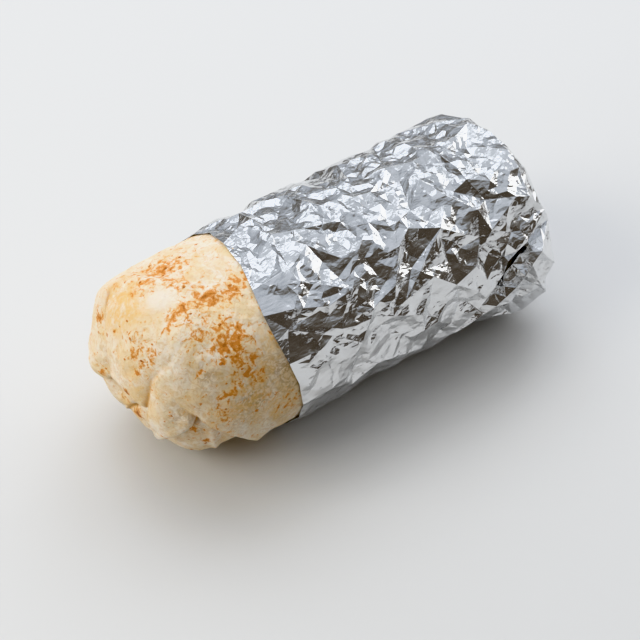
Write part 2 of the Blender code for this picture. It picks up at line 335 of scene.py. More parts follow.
def fold_height(points):
    """How far the folded dough stands off the loaf, in millimetres."""
    flat = unrolled(points)
    hem = signed_distance(flat, on_plane(SKIN_HEM))
    skin = smooth_step(-0.55, 0.55, hem)
    height = DOUGH / MM * skin
    height += HEM_LIP * np.exp(-((hem - 1.9) / 1.3) ** 2)
    height -= HEM_GROOVE * np.exp(-((hem + 1.3) / 0.9) ** 2) + 0.9 * (1.0 - skin)
    under = smooth_step(-0.5, 0.5, signed_distance(flat, on_plane(UNDER_HEM)))
    height += UNDER_LAYER * under * (1.0 - skin)
    for bearing, spread, middle, rise, push in LOBES:
        off = ((np.degrees(flat[:, 0] / WALL_RADIUS) - bearing) / spread) ** 2
        height += push * np.exp(-off - ((flat[:, 1] - middle) / rise) ** 2)
    ear_gap, ear_along = distance_to_line(flat, on_plane(EAR_LINE))
    ear_side = flat[:, 0] > np.interp(flat[:, 1], *on_plane(EAR_LINE[::-1]).T[::-1])
    fade = smooth_step(0.0, 0.45, ear_along) * smooth_step(14.0, 3.0, ear_gap)
    drop = EAR_STEP * smooth_step(0.0, 0.9, ear_gap) * np.exp(-ear_gap / 6.0)
    height -= fade * np.where(ear_side, drop, 0.0)
    height -= EAR_GROOVE * smooth_step(0.0, 0.35, ear_along) * np.exp(-(ear_gap / 0.8) ** 2)
    ridge, _ = distance_to_line(flat, on_plane(POCKET_RIDGE))
    height += POCKET_FOLD * np.exp(-(ridge / 1.5) ** 2) * (1.0 - skin)
    for line, depth_from, depth_to, width in CREASES:
        gap, along = distance_to_line(flat, on_plane(line))
        height -= (depth_from + (depth_to - depth_from) * along) * np.exp(-gap / width)
    return height


def lip_drop(points):
    """How far a hem's lip hangs down over the layer below it, in millimetres."""
    hem = signed_distance(unrolled(points), on_plane(SKIN_HEM))
    return 1.5 * np.exp(-((hem - 0.4) / 0.9) ** 2) - 0.5 * np.exp(-((hem + 1.4) / 0.9) ** 2)


def painted_shade_share(points):
    """Painted shade: 1 in a crease's bottom or just under a hem, fading to 0 beside it."""
    flat = unrolled(points)
    hem = signed_distance(flat, on_plane(SKIN_HEM))
    share = np.exp(-((hem + 1.2) / 1.3) ** 2)
    under = signed_distance(flat, on_plane(UNDER_HEM))
    share = np.maximum(share, 0.8 * np.exp(-((under + 0.6) / 1.0) ** 2) * (hem < 0.0))
    ear_gap, ear_along = distance_to_line(flat, on_plane(EAR_LINE))
    share = np.maximum(share, np.exp(-(ear_gap / 1.9) ** 2) * smooth_step(0.0, 0.3, ear_along))
    for line, depth_from, depth_to, width in CREASES:
        gap, along = distance_to_line(flat, on_plane(line))
        depth = (depth_from + (depth_to - depth_from) * along) / DEEPEST_CREASE
        share = np.maximum(share, np.clip(depth, 0.0, 1.0) * np.exp(-(gap / 1.1) ** 2))
    return share


print("creases", len(CREASES), "lobes", len(LOBES))

# %% [markdown]
# ## The skin's mesh
# The height moves each point of the loaf along its normal. The folds stay in the nose, and
# the skin thins to nothing where the foil grips it. Two rounds of averaging soften the
# steps, as dough is never sharp, and the underside is pressed flat on the table.

# %% Raise the folds
def ring_normals(points):
    """Outward normals of the ring grid."""
    grid = points.reshape(RINGS, AROUND, 3)
    along = np.gradient(grid, axis=0)
    across = np.roll(grid, -1, axis=1) - np.roll(grid, 1, axis=1)
    normal = np.cross(along, across)
    normal /= np.maximum(np.linalg.norm(normal, axis=2, keepdims=True), 1e-12)
    return normal.reshape(-1, 3)


SOFTEN_ROUNDS, SOFTEN_SHARE = 2, 0.35
# height and size in millimetres, seed
LUMPS = ((0.65, 17, 3.0), (0.55, 7, 5.0))
PUFFS = ((0.30, 3.4, 8.0), (0.12, 1.6, 9.0))

in_nose = smooth_step(AXIS_X + 26 * MM, AXIS_X + 18 * MM, loaf[:, 0])
height = fold_height(loaf) * in_nose + DOUGH / MM * (1.0 - in_nose)
lumps = sum(rise * noise_at(loaf, size * MM, seed) for rise, size, seed in LUMPS)
puffs = sum(rise * noise_at(loaf, size * MM, seed) for rise, size, seed in PUFFS)
to_foil = loaf[:, 0] - foil_edge_x(np.tile(turns, RINGS))
height += lumps * smooth_step(-1 * MM, -14 * MM, to_foil) + puffs
covered = np.concatenate([np.zeros(FOLDED_FROM * AROUND),
                          np.ones((RINGS - FOLDED_FROM) * AROUND)])
height *= covered * smooth_step(6 * MM, 1 * MM, to_foil)
dough_points = loaf + ring_normals(loaf) * (height * MM)[:, None]
dough_points[:, 2] -= lip_drop(loaf) * in_nose * MM
for _ in range(SOFTEN_ROUNDS):
    grid = dough_points.reshape(RINGS, AROUND, 3)
    mean = 0.25 * (np.roll(grid, 1, 1) + np.roll(grid, -1, 1))
    mean[1:-1] += 0.25 * (grid[2:] + grid[:-2])
    grid = grid.copy()
    grid[1:-1] = (1.0 - SOFTEN_SHARE) * grid[1:-1] + SOFTEN_SHARE * mean[1:-1]
    dough_points = grid.reshape(-1, 3)
dough_points[:, 2] = np.maximum(dough_points[:, 2], ROLL_LOW[2])
print("the folds stand off by", round(float(height.max()), 1), "mm at most")

# %% [markdown]
# ## Closing the mesh
# Each ring is joined to the next by quads, and a fan of triangles round one middle point
# closes each end, so that the skin has no hole. The far fan lies unseen inside the foil.

# %% Join the rings and close the ends
tips = np.stack([dough_points[:AROUND].mean(0), dough_points[-AROUND:].mean(0)])
tips[0, 0] = ROLL_HIGH[0]
corner = np.arange((RINGS - 1) * AROUND)
right = np.where((corner + 1) % AROUND == 0, corner + 1 - AROUND, corner + 1)
dough_faces = np.stack([corner, corner + AROUND, right + AROUND, right], 1).tolist()
first_tip, last_tip = len(dough_points), len(dough_points) + 1
last_ring = (RINGS - 1) * AROUND
for j in range(AROUND):
    k = (j + 1) % AROUND
    dough_faces.append([first_tip, j, k])
    dough_faces.append([last_tip, last_ring + k, last_ring + j])
dough_points = np.concatenate([dough_points, tips])
# how much painted shade, darker and browner, the creases and the dough under the hems get
painted_crease_shade = np.concatenate([painted_shade_share(loaf) * in_nose, [0.0, 0.0]])
print("dough faces", len(dough_faces))

# %% [markdown]
# ## The foil's sheet before it crumples
# Foil is a sheet that can't stretch. It starts as a smooth sleeve that closes over the
# roll's far end. Every point of the sleeve has two coordinates: how far it lies from the
# open edge, and its turn round the roll. A flat disc stands for the whole sleeve, with the
# open edge as its rim and the closed end as its middle, so one flat triangulation covers
# the sleeve with no seam.

# %% The smooth sleeve
FOIL_GROW = 0.5 * MM                  # how far the sleeve lies outside the roll's section
END_ROUNDING, END_BLUNTNESS = 17 * MM, 3.2
END_X = FOIL_HIGH[0] - 4.5 * MM       # the folds at the closed end stand out past this
SLEEVE_X = END_X - END_ROUNDING
MEAN_RADIUS = 0.5 * (HALF_WIDTH + HALF_HEIGHT)

cap_lift = np.linspace(0.0, 0.5 * math.pi, 240)
cap_reach = np.sin(cap_lift) ** (2.0 / END_BLUNTNESS)
cap_shrink = np.cos(cap_lift) ** (2.0 / END_BLUNTNESS)
body_x = np.linspace(FOIL_EDGE_X, SLEEVE_X, 120)[:-1]
line_x = np.concatenate([body_x, SLEEVE_X + END_ROUNDING * cap_reach])
line_shrink = np.concatenate([np.ones(len(body_x)), cap_shrink])
line_step = np.hypot(np.diff(line_x), MEAN_RADIUS * np.diff(line_shrink))
line_run = np.concatenate([[0.0], np.cumsum(line_step)])
line_turns = np.concatenate([[0.0], np.cumsum(
    line_step / (MEAN_RADIUS * np.maximum(0.5 * (line_shrink[1:] + line_shrink[:-1]), 0.01)))])
SHEET_RUN = line_run[-1]


def sleeve_point(run, turn):
    """The smooth sleeve's point at a run from the open edge and a turn round the roll."""
    x = np.interp(run, line_run, line_x)
    shrink = np.interp(run, line_run, line_shrink)
    y, z = section(turn, FOIL_GROW)
    fade = np.clip(1.0 - run / (SLEEVE_X - FOIL_EDGE_X), 0.0, 1.0) ** 2
    x = x + (foil_edge_x(turn) - FOIL_EDGE_X) * fade
    return np.stack([x, MID_Y + (y - MID_Y) * shrink, MID_Z + (z - MID_Z) * shrink], 1)


def sleeve_normal(run, turn):
    """The outward normal there, from two short steps along the surface."""
    step = 0.2 * MM
    run_a, run_b = np.maximum(run - step, 0.0), np.minimum(run + step, SHEET_RUN - step)
    along = sleeve_point(run_b, turn) - sleeve_point(run_a, turn)
    across = sleeve_point(run, turn + 0.01) - sleeve_point(run, turn - 0.01)
    normal = np.cross(across, along)
    length = np.linalg.norm(normal, axis=1, keepdims=True)
    normal = np.where(length > 1e-12, normal / np.maximum(length, 1e-12), [1.0, 0.0, 0.0])
    return normal


def disc_point(run, turn):
    """The same point on the flat disc, which keeps angles true."""
    radius = np.exp(-np.interp(run, line_run, line_turns))
    return np.stack([radius * np.cos(turn), radius * np.sin(turn)], 1)


print("sheet run", round(1000 * SHEET_RUN), "mm")

# %% [markdown]
# ## Creases
# Crumpled foil is a net of flat facets that meet in sharp, straight creases. The points
# where creases meet are scattered over the sheet, and a Delaunay triangulation joins them.

# %% Scatter the crease points and join them
SEED = 7
RING_UNEVEN, CHAIN_UNEVEN, INNER_UNEVEN = 0.42, 0.22, 0.28   # shares of the spacing
ROW_STEP = 0.87              # rings this share of the spacing apart make even triangles
rng = np.random.default_rng(SEED)


def scatter(spacing):
    """Run and turn of uneven rings of points, with an even ring on the open edge."""
    runs, turns = [], []
    run = 0.0
    while run < SHEET_RUN - 0.5 * spacing:
        shrink = float(np.interp(run, line_run, line_shrink))
        count = max(5, round(2.0 * math.pi * MEAN_RADIUS * shrink / spacing))
        loose = 0.0 if run == 0.0 else RING_UNEVEN
        ring = (np.arange(count) + rng.uniform(-loose, loose, count)) / count
        ring += rng.uniform() if run > 0.0 else 0.0
        turns.append(2.0 * math.pi * ring)
        runs.append(run + loose * spacing * rng.uniform(-1.0, 1.0, count))
        run += ROW_STEP * spacing
    runs.append(np.array([SHEET_RUN]))
    turns.append(np.array([0.0]))
    return np.clip(np.concatenate(runs), 0.0, SHEET_RUN), np.concatenate(turns)


def join_points(disc, edges):
    """Triangles over points of the disc, with the given edges kept."""
    points = [Vector(point) for point in disc.tolist()]
    found = geometry.delaunay_2d_cdt(points, edges, [], 0, 1e-9)
    source = [origin[0] if origin else -1 for origin in found[3]]
    faces = [[source[i] for i in face] for face in found[2] if len(face) == 3]
    faces = np.array([face for face in faces if min(face) >= 0 and len(set(face)) == 3])
    a, b, c = (disc[faces[:, k]] for k in range(3))
    area = np.cross(b - a, c - a)
    faces[area < 0] = faces[area < 0][:, ::-1]
    return faces[:, ::-1][np.abs(area) > 1e-16]


def edges_of(faces):
    """Every edge once, as a pair of point numbers."""
    pairs = np.concatenate([faces[:, [0, 1]], faces[:, [1, 2]], faces[:, [2, 0]]])
    return np.unique(np.sort(pairs, 1), axis=0)


print("random numbers start at seed", SEED)

# %% [markdown]
# ## Crushing
# A crush is a sheet with more length than the space that it is pressed into. Each edge is
# asked to be a little longer than it is, and each point is held in a thin layer round the
# smooth sleeve. Moving the points until both are met throws the sheet into facets. A
# coarse net gives the big facets. Each facet is then cut finer and crushed again, less.

# %% The crush
PULL_SHARE = 0.75            # how much of each edge's error one round puts right
SLIDE_SHARE = 0.96           # how much of a point's sideways drift is kept in each round


def vertex_normals(points, faces):
    """The outward normal at each point, weighted by the faces' areas."""
    a, b, c = (points[faces[:, k]] for k in range(3))
    face_normal = np.cross(b - a, c - a)
    total = np.zeros_like(points)
    for k in range(3):
        for axis in range(3):
            total[:, axis] += np.bincount(faces[:, k], face_normal[:, axis], len(points))
    return total / np.maximum(np.linalg.norm(total, axis=1, keepdims=True), 1e-15)


def crush(points, faces, excess, free, rounds):
    """Lengthens every edge by its excess and holds each point within its free height."""
    low, high = -free, free
    base, normals = points.copy(), vertex_normals(points, faces)
    edges = edges_of(faces)
    first, second = edges.T
    share = 0.5 * (excess[first] + excess[second])
    rest = np.linalg.norm(points[second] - points[first], axis=1) * (1.0 + share)
    count = len(points)
    joins = np.bincount(first, minlength=count) + np.bincount(second, minlength=count)
    lift = low + (high - low) * rng.uniform(0.0, 1.0, count)
    points = points + normals * lift[:, None]
    for _ in range(rounds):
        gap = points[second] - points[first]
        length = np.linalg.norm(gap, axis=1)
        pull = gap * ((length - rest) / np.maximum(length, 1e-9) * PULL_SHARE)[:, None]
        move = np.empty_like(points)
        for axis in range(3):
            move[:, axis] = np.bincount(first, pull[:, axis], count)
            move[:, axis] -= np.bincount(second, pull[:, axis], count)
        points = points + move / joins[:, None]
        off = points - base
        rise = np.sum(off * normals, axis=1)
        kept_rise = np.clip(rise, low, high)
        slide = (off - normals * rise[:, None]) * SLIDE_SHARE
        points = base + slide + normals * kept_rise[:, None]
    return points


def cut_finer(disc, faces, points, spacing):
    """Cuts every facet into smaller ones, with points along its creases and inside it."""
    new_disc, new_points, kept_edges = [disc], [points], []
    total = len(disc)
    edges = edges_of(faces)
    for a, b in edges:
        span = np.linalg.norm(points[b] - points[a])
        parts = max(1, round(span / spacing))
        chain = [a]
        for k in range(1, parts):
            share = (k + rng.uniform(-CHAIN_UNEVEN, CHAIN_UNEVEN)) / parts
            new_disc.append((disc[a] * (1 - share) + disc[b] * share)[None])
            new_points.append((points[a] * (1 - share) + points[b] * share)[None])
            chain.append(total)
            total += 1
        chain.append(b)
        kept_edges += list(zip(chain[:-1], chain[1:]))
    for a, b, c in faces:
        side = max(np.linalg.norm(points[b] - points[a]), np.linalg.norm(points[c] - points[b]),
                   np.linalg.norm(points[a] - points[c]))
        parts = round(side / spacing)
        for i in range(1, parts):
            for j in range(1, parts - i):
                uneven = rng.uniform(-INNER_UNEVEN, INNER_UNEVEN, 2)
                share = (np.array([i, j]) + uneven) / parts
                weights = np.array([share[0], share[1], 1.0 - share.sum()])
                new_disc.append((weights @ disc[[a, b, c]])[None])
                new_points.append((weights @ points[[a, b, c]])[None])
                total += 1
    new_disc = np.concatenate(new_disc)
    new_points = np.concatenate(new_points)
    pairs = [(int(a), int(b)) for a, b in kept_edges]
    return new_disc, join_points(new_disc, pairs), new_points


# %% [markdown]
# ## Where the sheet is loose
# Foil crumples most where nothing backs it, and least where it is pulled tight. Here it is
# tight at its cut edge, along the smooth low band on the near side and under the roll, and
# loose on the flap at the far end. These shares scale the crush at each point.

# %% Loose and tight places
def loose_share(points):
    """How freely the foil crumples: little at its cut edge and along the smooth low side."""
    height = (points[:, 2] - MID_Z) / HALF_HEIGHT
    near = smooth_step(MID_Y, MID_Y - 0.7 * HALF_WIDTH, points[:, 1])
    low_band = smooth_step(-0.20, -0.50, height) * near
    share = 1.0 - 0.6 * low_band
    share *= 0.3 + 0.7 * smooth_step(0.0, 3 * MM, points[:, 0] - FOIL_EDGE_X)
    flap = smooth_step(50 * MM, 62 * MM, points[:, 0]) * near * smooth_step(0.2, -0.1, height)
    share += 1.5 * flap
    return share * (0.25 + 0.75 * smooth_step(-1.0, -0.86, height))


def patchy(points, size, seed, low, high):
    """Soft patches that are 0 in some places and 1 in others."""
    return smooth_step(low, high, noise_at(points, size, seed))


def held(points):
    """The part of its free height that each point may use; the cut edge hugs the dough."""
    return smooth_step(0.0, 6 * MM, points[:, 0] - FOIL_EDGE_X) * 0.92 + 0.08


edge_point = np.array([[FOIL_EDGE_X, 0.0, 0.0]])
print("the cut edge keeps", held(edge_point)[0], "of its free height")

# %% [markdown]
# ## Folds at the closed end
# The far end is closed like a parcel: the sides are pressed in, then the top and the bottom
# are folded over them. On the near side the sheet's own edge runs up in a slanting strip,
# with a dark slot behind it and a loose corner that stands off the roll below. These folds
# are drawn on the unrolled sleeve: millimetres along the roll, and up round it from the
# middle of the near side. Rows of crease points follow them, so that they stay sharp.

# %% Strip, slot and loose corner
FOLD_LINE = [(14, -33), (27, -23), (38, -12), (49, -1.5), (58.5, 6.5), (68.5, 14.5), (78, 20)]
CORNER_FOOT = [(42, -29), (60, -29), (76, -30)]
LOOSE_CORNER = FOLD_LINE + [(110, 26), (110, -31)] + CORNER_FOOT[::-1] + [(30, -32)]
STRIP_WIDTH, STRIP_RISE, STRIP_LEAN = 7.0, 1.4, 0.4
SLOT_WIDTH, SLOT_DEPTH, SLOT_BANK = 6.6, 3.0, 3.0
CORNER_RISE, CORNER_FLARE = 1.2, 5.4      # how far the corner stands off, and more at its tip
LEAN_WAY = (0.72, 0.0, -0.69)             # along the roll and down, over the slot
SLOT_ENDS = (0.16, 0.84)                  # the stretch of the fold line where it is open
SIDE_OVERLAP, TOP_FLAP, LOW_FLAP = 7.0, 1.3, 2.2
ROW_SPACING = 5.0


def unrolled_sleeve(run, turn):
    """Millimetres along the roll and up round it."""
    x = sleeve_point(run, turn)[:, 0] / MM
    return np.stack([x, (math.pi - turn) * MEAN_RADIUS / MM], 1)


def corner_shift(run, turn):
    """How the strip, the slot and the loose corner move each point of the sleeve."""
    normal = sleeve_normal(run, turn)
    shrink = np.interp(run, line_run, line_shrink)
    flat = unrolled_sleeve(run, turn)
    gap, along = distance_to_line(flat, np.array(FOLD_LINE, float))
    corner_gap = signed_distance(flat, np.array(LOOSE_CORNER, float))
    past = corner_gap > 0.0
    fade = smooth_step(0.0, 0.2, along) * smooth_step(1.0, 0.85, along)
    strip = fade * np.where(past, 0.0, smooth_step(STRIP_WIDTH, STRIP_WIDTH - 1.5, gap))
    slot = fade * np.where(past, smooth_step(SLOT_WIDTH + SLOT_BANK, SLOT_WIDTH, gap), 0.0)
    flare = smooth_step(46.0, 80.0, flat[:, 0]) * np.clip((18.0 - flat[:, 1]) / 46.0, 0.0, 1.0)
    loose = smooth_step(0.2, 1.6, corner_gap) * smooth_step(0.15, 0.75, shrink)
    rise = STRIP_RISE * strip - SLOT_DEPTH * slot
    rise += (CORNER_RISE + CORNER_FLARE * flare) * loose * (1.0 - slot)
    lean = STRIP_LEAN * strip * smooth_step(3.0, 0.0, gap)
    sideways = np.array(LEAN_WAY) * lean[:, None]
    return (normal * rise[:, None] + sideways) * MM


def end_flaps(points, normals):
    """The top and the bottom of the parcel, folded over the sides, on the end face."""
    on_end = smooth_step(SLEEVE_X + 8 * MM, SLEEVE_X + 15 * MM, points[:, 0])
    climb = 0.75 * np.abs(points[:, 1] - MID_Y) / MM - SIDE_OVERLAP
    above = (points[:, 2] - MID_Z) / MM
    rise = TOP_FLAP * smooth_step(-1.2, 1.2, above - climb)
    rise = rise + LOW_FLAP * smooth_step(1.2, -1.2, above + climb)
    return points + normals * (rise * on_end * MM)[:, None]


print("fold line points", len(FOLD_LINE))

# %% [markdown]
# ## Crease points along the folds
# A fold stays sharp only where the sheet has crease points on it. So the scattered points
# near the folds are cleared away, and even rows take their place: three along the strip, two
# along the slot's far bank and two along the loose corner's foot. The triangles that fall in
# the slot are left out later, because there the sheet is open and its layers part.

# %% Rows of crease points
def row_beside(line, offset):
    """Points in a row beside a line, at an offset to its right, evenly spaced."""
    corners = np.array(line, float)
    steps = np.diff(corners, axis=0)
    lengths = np.linalg.norm(steps, axis=1)
    starts = np.concatenate([[0.0], np.cumsum(lengths)])
    marks = np.linspace(0.0, starts[-1], round(starts[-1] / ROW_SPACING) + 1)
    row = np.stack([np.interp(marks, starts, corners[:, k]) for k in range(2)], 1)
    along = np.gradient(row, axis=0)
    along /= np.linalg.norm(along, axis=1, keepdims=True)
    row += offset * np.stack([along[:, 1], -along[:, 0]], 1)
    run = np.interp(row[:, 0] * MM, line_x, line_run)
    return run, math.pi - row[:, 1] * MM / MEAN_RADIUS


def add_rows(run, turn):
    """Clears the scattered points off the folds and puts rows of crease points there."""
    flat = unrolled_sleeve(run, turn)
    gap, _ = distance_to_line(flat, np.array(FOLD_LINE, float))
    foot_gap, _ = distance_to_line(flat, np.array(CORNER_FOOT, float))
    keep = (gap > STRIP_WIDTH + 3.0) & (foot_gap > 5.0)
    run, turn = run[keep], turn[keep]
    edges = []
    rows = [(FOLD_LINE[:-1], -STRIP_WIDTH), (FOLD_LINE[:-1], -1.6), (FOLD_LINE[:-1], 0.0),
            (FOLD_LINE[:-1], SLOT_WIDTH), (FOLD_LINE[:-1], SLOT_WIDTH + SLOT_BANK),
            (CORNER_FOOT, -1.8), (CORNER_FOOT, -0.2)]
    for line, offset in rows:
        row_run, row_turn = row_beside(line, offset)
        first = len(run)
        edges += [(first + i, first + i + 1) for i in range(len(row_run) - 1)]
        run, turn = np.concatenate([run, row_run]), np.concatenate([turn, row_turn])
    return run, turn, edges


def in_slot(disc, faces):
    """Which triangles lie in the slot, where the sheet is open."""
    middle = disc[faces].mean(axis=1)
    radius = np.maximum(np.hypot(middle[:, 0], middle[:, 1]), 1e-9)
    run = np.interp(-np.log(radius), line_turns, line_run)
    turn = np.mod(np.arctan2(middle[:, 1], middle[:, 0]), 2.0 * math.pi)
    flat = unrolled_sleeve(run, turn)
    gap, along = distance_to_line(flat, np.array(FOLD_LINE, float))
    past = signed_distance(flat, np.array(LOOSE_CORNER, float)) > 0.0
    return past & (gap < SLOT_WIDTH) & (along > SLOT_ENDS[0]) & (along < SLOT_ENDS[1])


print("rows are", ROW_SPACING, "mm between points")

# %% [markdown]
# ## Three crushes
# The whole sleeve is crushed with big facets, then with middle ones and last with small
# ones. The free height shrinks with the facets. In the last two crushes the extra length
# comes in soft patches, so that some facets stay flat and bright between crumpled ones.

# %% Crush the sleeve three times
FACET_SIZES = (10.5 * MM, 4.3 * MM, 1.9 * MM)
EXCESSES = (0.034, 0.026, 0.014)                      # extra length at each crush
FREE_HEIGHTS = (1.1 * MM, 0.6 * MM, 0.2 * MM)         # how far a point may move in or out
ROUNDS = (400, 250, 120)
# lump size, seed, and the noise values where a patch begins and is full
MIDDLE_PATCHES, SMALL_PATCHES = (18 * MM, 4.0, -0.2, 0.3), (12 * MM, 6.0, -0.1, 0.3)

run, turn, row_edges = add_rows(*scatter(FACET_SIZES[0]))
disc = disc_point(run, turn)
foil_faces = join_points(disc, row_edges)
foil_points = sleeve_point(run, turn) + corner_shift(run, turn)
for level, (size, excess, free, rounds) in enumerate(
        zip(FACET_SIZES, EXCESSES, FREE_HEIGHTS, ROUNDS)):
    if level > 0:
        disc, foil_faces, foil_points = cut_finer(disc, foil_faces, foil_points, size)
    print("facets", len(foil_faces))
    extra = excess * loose_share(foil_points)
    if level == 1:
        extra = extra * (0.6 + 0.6 * patchy(foil_points, *MIDDLE_PATCHES))
    if level == 2:
        extra = extra * patchy(foil_points, *SMALL_PATCHES)
    foil_points = crush(foil_points, foil_faces, extra, free * held(foil_points), rounds)

# %% [markdown]
# ## Flaps and the open slot
# The flaps are a last, larger fold over the small creases, and no part of the foil may go
# below the table. Once the slot's triangles are out, points that no face uses go too.

# %% Lay the flaps and open the slot
foil_points = end_flaps(foil_points, vertex_normals(foil_points, foil_faces))
foil_points[:, 2] = np.maximum(foil_points[:, 2], 0.0)
open_slot = in_slot(disc, foil_faces)
foil_faces = foil_faces[~open_slot]
used, foil_faces = np.unique(foil_faces, return_inverse=True)
foil_points, foil_faces = foil_points[used], foil_faces.reshape(-1, 3)
print("triangles left out of the slot", int(open_slot.sum()))

# %% [markdown]
# ## The foil's metal
# Kitchen foil is rolled aluminium. It is a bright metal with a slight blur, because the
# rolls leave fine lines in it. The mesh carries the facets that catch the light. The
# wrinkles between them are too fine for it, so they are a bump: cells whose borders are
# creases, at two sizes. They are drawn a little coarser than real ones, so that they show.

# %% Rolled aluminium foil
WRINKLES = ((3.2, 1.0), (1.4, 0.45))   # cell size in millimetres, share of the relief
WRINKLE_DEPTH = 0.23 * MM
WANDER_SIZE, WANDER = 7 * MM, 3 * MM   # the lumps that bend the wrinkles, and how far
ROLLED_BLUR = 0.17

foil_metal, tree, shader = start_material("rolled_aluminium_foil")
where = add_node(tree, "ShaderNodeTexCoord").outputs["Object"]
# the wrinkles run a little along the roll, so the pattern is stretched that way
stretched = add_node(tree, "ShaderNodeMapping", values={"Scale": (0.55, 1.0, 1.0)},
                     links={"Vector": where})
wander = add_node(tree, "ShaderNodeTexNoise", values={
    "Scale": 1.0 / WANDER_SIZE, "Detail": 2.0}, links={"Vector": where})
bent = add_node(tree, "ShaderNodeVectorMath", {"operation": "MULTIPLY_ADD"}, {
    1: (WANDER,) * 3}, {0: wander.outputs["Color"], 2: stretched.outputs["Vector"]})
relief = None
for size, share in WRINKLES:
    cells = add_node(tree, "ShaderNodeTexVoronoi", {"feature": "DISTANCE_TO_EDGE"},
                     {"Scale": 1.0 / (size * MM)}, {"Vector": bent.outputs["Vector"]})
    part = add_node(tree, "ShaderNodeMath", {"operation": "MULTIPLY_ADD"}, {1: share, 2: 0.0},
                    {0: cells.outputs["Distance"]})
    if relief:
        tree.links.new(relief, part.inputs[2])
    relief = part.outputs[0]
bump = add_node(tree, "ShaderNodeBump", values={"Strength": 1.0, "Distance": WRINKLE_DEPTH},
                links={"Height": relief})
shader.inputs["Base Color"].default_value = hex_colour("#E9EAEB")
shader.inputs["Metallic"].default_value = 1.0
shader.inputs["Roughness"].default_value = ROLLED_BLUR
tree.links.new(bump.outputs["Normal"], shader.inputs["Normal"])
print("foil metal nodes", len(tree.nodes))

# %% [markdown]
# ## The finished sheet
# A crease in foil isn't a knife edge: the metal turns over a fine radius that glints as a
# thin line. A bevel on the sharper creases gives that radius. It is baked into the mesh, and
# then a wall gives the sheet its thickness, inwards, and weighted normals keep each facet
# flat to its very edge. The wall is thicker than real foil, so that its cut edge shows.

# %% Bevel the creases and thicken the sheet
FACET_ANGLE, CREASE_ANGLE = math.radians(9), math.radians(26)
CREASE_WIDTH = 0.36 * MM
SHEET_THICKNESS = 0.12 * MM

foil = make_mesh_object("foil_sheet", foil_points, foil_faces, foil_metal)
foil.data.set_sharp_from_angle(angle=FACET_ANGLE)
crease = foil.modifiers.new("crease", "BEVEL")
crease.limit_method = "ANGLE"
crease.angle_limit = CREASE_ANGLE
crease.width = CREASE_WIDTH
crease.segments = 2
crease.miter_outer = "MITER_SHARP"
baked = bpy.data.meshes.new_from_object(foil.evaluated_get(
    bpy.context.evaluated_depsgraph_get()))
foil.modifiers.remove(crease)
foil.data = baked
wall = foil.modifiers.new("wall", "SOLIDIFY")
wall.thickness = SHEET_THICKNESS
wall.offset = -1.0
flat_facets = foil.modifiers.new("flat_facets", "WEIGHTED_NORMAL")
flat_facets.keep_sharp = True
flat_facets.weight = 100
print("foil faces before the bevel", len(foil_faces), "and after", len(foil.data.polygons))

# %% [markdown]
# ## Where the griddle browned it
# A griddle browns only the parts of the dough that touch it, so the toast lies in bands and
# patches on the high parts and leaves the puffed and folded parts pale. Each patch is a
# place on the roll with a reach and a strength. What they add up to is kept on the mesh as
# a smooth attribute, and the material breaks it up into the fine mottling.

# %% Toast, butter and ash patches
# x, y and z in millimetres, reach in millimetres, strength
TOAST = {
    "band behind the top": [
        (-76, 21, 64, 4.5, 0.6), (-69, 21, 65, 4.5, 0.7), (-73, 10, 72, 5, 0.9),
        (-67, 14, 69, 5.5, 0.95), (-61, 16, 68, 5.5, 0.9), (-64, 5, 73, 5, 0.85),
        (-65, 0.5, 73, 3.5, 0.6), (-55, 13, 69, 6, 0.6)],
    "band along the top": [
        (-41, -8, 72, 4.5, 0.85), (-48, -9, 72, 5, 0.9), (-55, -8.5, 72, 5, 0.9),
        (-61, -7.5, 73, 5, 0.9), (-67, -8, 73, 4.5, 0.85), (-72, -8.5, 72, 4, 0.75),
        (-75, -9, 71, 3.5, 0.5), (-69, -12, 71, 5, 0.5)],
    "band down the near side": [
        (-66, -18.5, 69, 4, 0.75), (-59, -19, 69, 4, 0.65), (-55.5, -23, 67, 5, 0.9),
        (-55, -27, 64, 4.5, 0.8), (-61.5, -25, 66, 4.5, 0.8), (-65, -23, 67, 3.5, 0.55),
        (-58.5, -28, 63, 4, 0.75), (-62, -29, 62, 4, 0.7), (-56.5, -32, 58, 4, 0.75),
        (-72, -20, 67, 4, 0.4), (-61, -33, 56, 4, 0.65), (-55, -35, 53, 3.5, 0.85),
        (-66, -34, 51, 3.5, 0.65), (-69.5, -33.5, 50, 3, 0.55), (-72, -33.5, 45, 4, 0.55),
        (-71.5, -34.5, 37, 5, 0.45), (-45.5, -38, 34, 4.5, 0.65), (-52, -37, 40, 5, 0.3)],
    "patch on the left lobe": [
        (-84.5, -9.5, 65, 3.5, 0.75), (-86.5, -8.5, 62, 3.5, 0.8), (-88.5, -6, 59, 3, 0.7),
        (-87, -2, 64, 3.5, 0.55), (-87, -11.5, 60, 3.5, 0.55)],
    "hidden far side": [
        (-70, 36, 50, 8, 0.8), (-52, 38, 42, 9, 0.75), (-80, 30, 40, 6, 0.6),
        (-60, 37, 26, 7, 0.6), (-44, 33, 60, 6, 0.6), (-66, 10, 2, 10, 0.7),
        (-50, -10, 2, 9, 0.7)],
}
TOAST_LEVEL = 0.84           # scales every toast patch at once
